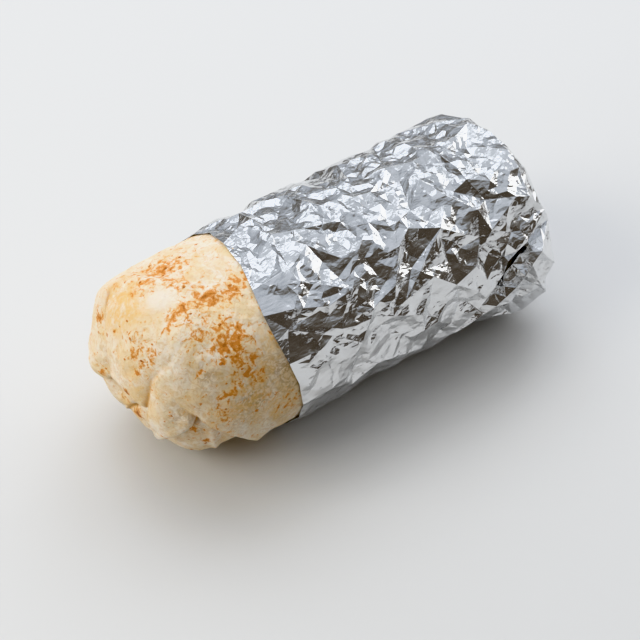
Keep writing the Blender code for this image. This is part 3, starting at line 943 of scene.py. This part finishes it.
# small scorched spots, fat-fried yellow, steamed grey and one pale puff, in the same form
SPOTS = [(-90, 11.5, 56, 0.9, 0.9), (-88.5, 8, 60.5, 0.9, 0.9), (-89.5, -9, 54, 1.3, 0.9),
         (-92.5, -4, 41, 1.8, 0.9), (-87.5, 22.5, 54, 2.2, 0.9), (-93, 14.5, 34, 2.6, 0.6),
         (-88.5, -0.5, 21, 3.0, 1.0), (-78.5, -26, 31, 1.5, 0.8), (-75.5, -28, 23, 1.6, 0.9),
         (-91.5, 3.5, 27, 3, 0.4), (-67, 14, 69, 1.4, 0.5), (-60, 15, 68.5, 1.3, 0.6)]
BUTTER = [(-81.5, 14, 68, 7, 0.9), (-82, 6.5, 69, 7, 0.8), (-86.5, 10, 64, 6, 0.8),
          (-80, 20, 66, 6, 0.7), (-46, -29, 62, 2.6, 0.9), (-60, -36, 50, 9, 0.7),
          (-55, -33, 57, 8, 0.5), (-89, -6, 50, 6, 0.5), (-88, -10, 44, 5, 0.5),
          (-91, 2, 24, 7, 0.8), (-70, -34, 42, 8, 0.5), (-50, -36, 36, 8, 0.5),
          (-76, -27, 29, 5, 0.7)]
ASH = [(-58, -37, 45, 9, 0.9), (-73, -28.5, 59, 5, 0.6), (-81, -25, 41, 6, 0.6),
       (-44, -35.5, 51, 6, 1.0), (-50, -34, 57, 6, 0.6), (-66, -35, 36, 7, 0.3),
       (-42, -37, 44, 5, 0.8), (-48, -38, 30, 7, 0.5), (-77, -26, 31, 4, 0.6)]
PUFF = (-72.5, 1.0, 73, 5.0, 1.0)


def patch_field(points, patches):
    """The strength of round, soft patches at each point; overlaps don't add up past 1."""
    left = np.ones(len(points))
    for x, y, z, reach, strength in patches:
        away = np.linalg.norm(points / MM - (x, y, z), axis=1)
        left *= 1.0 - strength * np.exp(-(away / reach) ** 2)
    return 1.0 - left


def bake_patches(thing, name, values):
    """Keeps one number per vertex on the mesh, for its material to read."""
    layer = thing.data.attributes.new(name, "FLOAT", "POINT")
    layer.data.foreach_set("value", np.asarray(values, np.float32))


toast = patch_field(dough_points, sum(TOAST.values(), []))
print("share of the skin that toasted", round(float((toast > 0.5).mean()), 3))

# %% [markdown]
# ## The dough's surface
# Flour dough is matt and lets a little light in, so its shadows are warm. Its colour is
# layered: cream dough, greyer where it steamed, yellow where fat fried it, a painted shade,
# darker and browner, in the creases and under the hems, and then the toast, which noise
# breaks into the fine curls that a hot griddle leaves.
# First come the fields that the layers are made from: noise at the sizes of the real marks,
# the patches kept on the mesh, and the heat that the dough had at each place.

# %% Fields of the griddled flour dough
dough, tree, shader = start_material("griddled_flour_dough")
where = add_node(tree, "ShaderNodeTexCoord").outputs["Object"]

# lump size in millimetres, detail, warp
PATTERNS = {"clouds": (11.0, 5.0, 0.8), "blotches": (4.2, 7.0, 2.4), "specks": (2.2, 4.0, 1.5),
            "steam": (3.0, 6.0, 2.5), "fat": (5.0, 4.0, 1.2), "curls": (2.8, 6.5, 0.9),
            "grains": (1.0, 4.0, 0.3), "dimples": (2.6, 3.0, 0.5), "pores": (0.9, 4.0, 0.0)}
field = {}
for name, (size, detail, warp) in PATTERNS.items():
    field[name] = add_node(tree, "ShaderNodeTexNoise", values={
        "Scale": 1.0 / (size * MM), "Detail": detail, "Roughness": 0.6, "Distortion": warp},
        links={"Vector": where}).outputs["Fac"]
for name in ("toast", "scorch", "butter", "ash", "puff", "crease"):
    field[name] = add_node(tree, "ShaderNodeAttribute", {"attribute_name": name}).outputs["Fac"]

# heat is the patch's toast, made uneven by the curls and grains, kept off the puff and
# strongest on the scorched spots: how much each adds, and the value at which it adds nothing
HEAT = (("curls", 3.8, 0.5), ("grains", 1.6, 0.5), ("puff", -1.0, 0.0), ("scorch", 1.5, 0.0))
field["heat"] = field["toast"]
for name, share, middle in HEAT:
    part = add_node(tree, "ShaderNodeMath", {"operation": "MULTIPLY_ADD"},
                    {1: share, 2: -share * middle}, {0: field[name]})
    field["heat"] = add_node(tree, "ShaderNodeMath", {"operation": "ADD"}, links={
        0: field["heat"], 1: part.outputs[0]}).outputs[0]
print("fields", ", ".join(field))

# %% [markdown]
# ## The dough's colours
# Each layer lays one colour over those below it, where its field passes from low to high.
# A table holds them, so that a layer can be moved or toned without touching any node.

# %% Layers of colour
CREAM = "#F0E5D4"
# which field, where it starts, where it is full, how strong, only inside this patch, colour
LAYERS = [("clouds", 0.36, 0.66, 1.0, None, "#E8D2AC"),
          ("blotches", 0.46, 0.64, 0.50, None, "#D9B57C"),
          ("specks", 0.54, 0.72, 0.28, None, "#BF9A66"),
          ("steam", 0.40, 0.60, 0.80, "ash", "#A9895A"),
          # painted shade: a darker, browner colour in the creases and under the hems
          ("crease", 0.12, 0.9, 0.80, None, "#B98646"),
          ("fat", 0.32, 0.60, 0.85, "butter", "#EDBE6C"),
          ("puff", 0.15, 0.75, 0.85, None, "#EDE2D2"),
          ("heat", 0.30, 0.66, 0.70, None, "#E5B069"),
          ("heat", 0.58, 0.90, 0.88, None, "#CB8135"),
          ("heat", 1.05, 1.55, 0.80, None, "#975C26")]
colour = None
for name, low, high, strength, patch, over in LAYERS:
    share = add_node(tree, "ShaderNodeMapRange", {"interpolation_type": "SMOOTHSTEP"}, {
        "From Min": low, "From Max": high, "To Max": strength}, {
        "Value": field[name]}).outputs["Result"]
    if patch:
        share = add_node(tree, "ShaderNodeMath", {"operation": "MULTIPLY"}, links={
            0: share, 1: field[patch]}).outputs[0]
    layer = add_node(tree, "ShaderNodeMix", {"data_type": "RGBA"}, {
        6: hex_colour(CREAM), 7: hex_colour(over)}, {"Factor": share})
    if colour:
        tree.links.new(colour, layer.inputs[6])
    colour = layer.outputs[2]
tree.links.new(colour, shader.inputs["Base Color"])
print("colour layers", len(LAYERS))

# %% [markdown]
# ## The dough's grain and shine
# Dimples and pores are a shallow bump. The gloss is low, as on any bread. A short
# subsurface distance, longest in red, gives thin edges their warmth.

# %% Grain, shine and warmth
GRAIN_DEPTH, GRAIN_STRENGTH, PORE_SHARE = 0.5 * MM, 0.6, 0.5
PALE_ROUGHNESS, TOASTED_ROUGHNESS = 0.66, 0.52

relief = add_node(tree, "ShaderNodeMath", {"operation": "MULTIPLY_ADD"}, {1: PORE_SHARE}, {
    0: field["pores"], 2: field["dimples"]})
bump = add_node(tree, "ShaderNodeBump", values={
    "Strength": GRAIN_STRENGTH, "Distance": GRAIN_DEPTH}, links={"Height": relief.outputs[0]})
tree.links.new(bump.outputs["Normal"], shader.inputs["Normal"])
# toasted dough is drier and a little shinier than pale dough
dryness = add_node(tree, "ShaderNodeMapRange", values={
    "From Min": 0.3, "From Max": 1.0, "To Min": PALE_ROUGHNESS, "To Max": TOASTED_ROUGHNESS},
    links={"Value": field["heat"]})
tree.links.new(dryness.outputs["Result"], shader.inputs["Roughness"])
shader.inputs["Specular IOR Level"].default_value = 0.25
shader.inputs["Subsurface Weight"].default_value = 0.10
shader.inputs["Subsurface Radius"].default_value = (1.0, 0.55, 0.25)
shader.inputs["Subsurface Scale"].default_value = 2 * MM
print("dough nodes", len(tree.nodes))

# %% [markdown]
# ## The finished skin
# The mesh gets its material, and each kind of patch becomes one number per point on it. The
# material finds them by name, so they stay in place on the dough whatever is near it.

# %% Dress the skin
tortilla = make_mesh_object("tortilla_skin", dough_points, dough_faces, dough)
bake_patches(tortilla, "toast", TOAST_LEVEL * toast)
bake_patches(tortilla, "scorch", patch_field(dough_points, SPOTS))
bake_patches(tortilla, "butter", patch_field(dough_points, BUTTER))
bake_patches(tortilla, "ash", patch_field(dough_points, ASH))
bake_patches(tortilla, "puff", patch_field(dough_points, [PUFF]))
# the painted shade in the creases and under the hems
bake_patches(tortilla, "crease", painted_crease_shade)
print("tortilla faces", len(tortilla.data.polygons))

# %% [markdown]
# ## Freckles
# Small bubbles in the dough touch the griddle first and scorch to brown freckles. There are
# about a hundred, all the same low dome, so Geometry Nodes scatter one dome over the skin:
# points on the faces, more of them where it toasted, a dome on each one at a random size,
# and a scorch value that the dough's own material reads. The tree's inputs carry the sizes
# by name.

# %% The freckle tree's inputs
freckle_tree = bpy.data.node_groups.new("scorched_freckles", "GeometryNodeTree")
SOCKETS = {"Skin": "NodeSocketGeometry", "Spacing": "NodeSocketFloat",
           "Most per area": "NodeSocketFloat", "Small": "NodeSocketFloat",
           "Large": "NodeSocketFloat", "Flatness": "NodeSocketFloat",
           "Scorch": "NodeSocketFloat", "Seed": "NodeSocketInt",
           "Dough": "NodeSocketMaterial"}
socket_id = {name: freckle_tree.interface.new_socket(
    name, in_out="INPUT", socket_type=kind).identifier for name, kind in SOCKETS.items()}
freckle_tree.interface.new_socket("Freckles", in_out="OUTPUT", socket_type="NodeSocketGeometry")
given = add_node(freckle_tree, "NodeGroupInput").outputs
print("inputs", ", ".join(SOCKETS))

# %% [markdown]
# ## The tree's nodes
# Poisson distribution keeps the freckles apart, as bubbles are. The dome is a flattened
# ball, a little narrower one way, half sunk in the skin. The tree ends in real, smooth faces
# with their material, because the export drops instances.

# %% Points, domes and their material
likely = add_node(freckle_tree, "GeometryNodeInputNamedAttribute", {"data_type": "FLOAT"},
                  {"Name": "freckle_share"})
points = add_node(freckle_tree, "GeometryNodeDistributePointsOnFaces",
                  {"distribute_method": "POISSON"}, {}, {
                      "Mesh": given["Skin"], "Distance Min": given["Spacing"],
                      "Density Max": given["Most per area"], "Seed": given["Seed"],
                      "Density Factor": likely.outputs["Attribute"]})
scorched = add_node(freckle_tree, "GeometryNodeStoreNamedAttribute",
                    {"data_type": "FLOAT", "domain": "POINT"}, {"Name": "scorch"},
                    {"Geometry": points.outputs["Points"], "Value": given["Scorch"]})
ball = add_node(freckle_tree, "GeometryNodeMeshUVSphere",
                values={"Segments": 10, "Rings": 6, "Radius": 1.0})
flat = add_node(freckle_tree, "ShaderNodeCombineXYZ", values={"X": 1.0, "Y": 0.7},
                links={"Z": given["Flatness"]})
dome = add_node(freckle_tree, "GeometryNodeTransform", links={
    "Geometry": ball.outputs["Mesh"], "Scale": flat.outputs["Vector"]})
size = add_node(freckle_tree, "FunctionNodeRandomValue", {"data_type": "FLOAT"}, {}, {
    2: given["Small"], 3: given["Large"], "Seed": given["Seed"]})
placed = add_node(freckle_tree, "GeometryNodeInstanceOnPoints", links={
    "Points": scorched.outputs["Geometry"], "Instance": dome.outputs["Geometry"],
    "Rotation": points.outputs["Rotation"], "Scale": size.outputs[1]})
real = add_node(freckle_tree, "GeometryNodeRealizeInstances", links={
    "Geometry": placed.outputs["Instances"]})
round_look = add_node(freckle_tree, "GeometryNodeSetShadeSmooth", links={
    "Geometry": real.outputs["Geometry"]})
dressed = add_node(freckle_tree, "GeometryNodeSetMaterial", links={
    "Geometry": round_look.outputs["Geometry"], "Material": given["Dough"]})
add_node(freckle_tree, "NodeGroupOutput", links={"Freckles": dressed.outputs["Geometry"]})
print("freckle tree nodes", len(freckle_tree.nodes))

# %% [markdown]
# ## Growing the freckles
# The tree runs on a copy of the skin that also says where freckles may grow: on the bare
# dough, off the table, and four times as likely where it toasted most. Its result is baked
# into a plain mesh, and the copy goes.

# %% Scatter the freckles
FRECKLES = {"Spacing": 2.6 * MM, "Most per area": 30000.0, "Small": 0.35 * MM,
            "Large": 0.85 * MM, "Flatness": 0.22, "Scorch": 0.55, "Seed": 5, "Dough": dough}

seedbed = bpy.data.objects.new("seedbed", tortilla.data.copy())
bpy.context.scene.collection.objects.link(seedbed)
bare_share = smooth_step(-1 * MM, -5 * MM, dough_points[:, 0] - FOIL_EDGE_X)
bare_share *= smooth_step(4 * MM, 9 * MM, dough_points[:, 2])
bake_patches(seedbed, "freckle_share", bare_share * (0.25 + 0.75 * toast))
scatterer = seedbed.modifiers.new("freckles", "NODES")
scatterer.node_group = freckle_tree
for name, value in FRECKLES.items():
    scatterer[socket_id[name]] = value
freckle_mesh = bpy.data.meshes.new_from_object(seedbed.evaluated_get(
    bpy.context.evaluated_depsgraph_get()))
bpy.data.objects.remove(seedbed)
freckle_mesh.name = "dough_freckles"
freckles = bpy.data.objects.new("dough_freckles", freckle_mesh)
bpy.context.scene.collection.objects.link(freckles)
print("freckle faces", len(freckle_mesh.polygons), "materials", len(freckle_mesh.materials))

# %% [markdown]
# ## The floor
# The burrito lies on a plain, pale floor, large enough to fill every view. Neutral tones
# keep the dough's hex colours as they are written, where a softer curve would grey them.

# %% Floor and tones
FLOOR_REACH = 12.0           # metres from the middle to each side

bpy.context.scene.view_settings.view_transform = "Khronos PBR Neutral"
floor_material, tree, shader = start_material("pale_floor")
shader.inputs["Base Color"].default_value = hex_colour("#CFCFCE")
shader.inputs["Roughness"].default_value = 0.55
corners = FLOOR_REACH * np.array([[-1, -1, 0], [1, -1, 0], [1, 1, 0], [-1, 1, 0]], float)
floor = make_mesh_object("floor", corners, [[0, 1, 2, 3]], floor_material)
floor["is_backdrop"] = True
print("floor", 2 * FLOOR_REACH, "m across")

# %% [markdown]
# ## The room's sky
# Foil shows what is round it, so the room matters as much as the metal. The sky is one
# soft ramp, darkest low down and brightest high up and away from the camera's side, like a
# room with one wall of windows. Its dark warm part is what the foil's deep facets mirror.

# %% A sky like a room with windows on one side
BRIGHT_WAY = (0.20, 0.28, 0.75)
SKY = [(0.0, "#5E574F"), (0.36, "#6C655D"), (0.52, "#84817C"), (0.70, "#C3C9D2"),
       (1.0, "#F0F5FD")]
SKY_STRENGTH, SKY_LIFT = 0.86, 0.1

world = bpy.data.worlds.new("studio")
bpy.context.scene.world = world
world.use_nodes = True
sky = world.node_tree
direction = add_node(sky, "ShaderNodeTexCoord").outputs["Generated"]
towards = add_node(sky, "ShaderNodeVectorMath", {"operation": "DOT_PRODUCT"},
                   {1: BRIGHT_WAY}, {0: direction})
level = add_node(sky, "ShaderNodeMath", {"operation": "ADD"}, {1: SKY_LIFT},
                 {0: towards.outputs["Value"]})
ramp = add_node(sky, "ShaderNodeValToRGB", links={"Fac": level.outputs[0]})
while len(ramp.color_ramp.elements) < len(SKY):
    ramp.color_ramp.elements.new(0.5)
for element, (place, colour) in zip(ramp.color_ramp.elements, SKY):
    element.position = place
    element.color = hex_colour(colour)
sky.links.new(ramp.outputs["Color"], sky.nodes["Background"].inputs["Color"])
sky.nodes["Background"].inputs["Strength"].default_value = SKY_STRENGTH
print("sky colours", len(SKY))

# %% [markdown]
# ## The lights
# Large soft windows light the dough. In the foil a wide window would be one flat white, so
# the widest ones are hidden from mirrors, and the foil mirrors two small panes and the
# window on the right instead.

# %% Windows and panes
# name, place, target, width, height, watts, colour, whether mirrors show it
WINDOWS = [
    ("back_window", (0.35, 0.75, 0.95), (0.0, 0.0, 0.03), 1.9, 1.3, 14.0, "#F6F9FF", False),
    ("front_fill", (-1.0, -0.45, 0.8), (-0.05, 0.0, 0.03), 1.0, 1.0, 2.2, "#FFFDF8", False),
    ("near_pane", (0.15, 0.70, 1.05), (0.0, 0.0, 0.03), 0.45, 0.60, 1.3, "#F6F9FF", True),
    ("far_pane", (0.75, 0.55, 0.95), (0.0, 0.0, 0.03), 0.30, 0.55, 0.9, "#F6F9FF", True),
    ("left_window", (-0.9, 0.35, 0.75), (0.0, 0.0, 0.03), 0.7, 0.7, 8.0, "#FFFBF2", False),
    ("right_window", (1.1, -0.1, 0.55), (0.05, 0.0, 0.04), 0.8, 0.5, 3.0, "#FFFFFF", True)]


def softbox(name, place, target, width, height, power, colour, mirrored):
    """A rectangular area light at a place, turned to its target."""
    light = bpy.data.lights.new(name, "AREA")
    light.shape = "RECTANGLE"
    light.size, light.size_y = width, height
    light.energy = power
    light.color = hex_colour(colour)[:3]
    lamp = bpy.data.objects.new(name, light)
    lamp.location = place
    lamp.rotation_euler = (Vector(target) - Vector(place)).to_track_quat("-Z", "Y").to_euler()
    lamp.visible_glossy = mirrored
    bpy.context.scene.collection.objects.link(lamp)


for window in WINDOWS:
    softbox(*window)
print("lights", len(WINDOWS))

# %% [markdown]
# ## The camera
# It looks down at the bare end's side, so that the folds, the toast and the foil's length
# all show.

# %% Camera
CAMERA_TARGET = Vector((-9.6 * MM, -8.4 * MM, 30 * MM))
CAMERA_AZIMUTH, CAMERA_ELEVATION = math.radians(-35.67), math.radians(48.0)
CAMERA_DISTANCE = 0.5
LENS, SENSOR = 71.75, 36.0   # millimetres

back = Vector((math.sin(CAMERA_AZIMUTH) * math.cos(CAMERA_ELEVATION),
               -math.cos(CAMERA_AZIMUTH) * math.cos(CAMERA_ELEVATION),
               math.sin(CAMERA_ELEVATION)))
camera = bpy.data.objects.new("camera", bpy.data.cameras.new("camera"))
camera.location = CAMERA_TARGET + CAMERA_DISTANCE * back
camera.rotation_euler = (-back).to_track_quat("-Z", "Y").to_euler()
camera.data.lens = LENS
camera.data.sensor_width = SENSOR
bpy.context.scene.collection.objects.link(camera)
bpy.context.scene.camera = camera
print("camera", [round(v, 3) for v in camera.location])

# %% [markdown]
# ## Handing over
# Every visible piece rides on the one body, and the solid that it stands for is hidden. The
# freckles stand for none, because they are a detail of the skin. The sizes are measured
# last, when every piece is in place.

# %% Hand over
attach(tortilla, "root")
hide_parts("tortilla_roll")
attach(freckles, "root")
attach(foil, "root")
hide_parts("foil_wrap")
low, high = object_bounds()
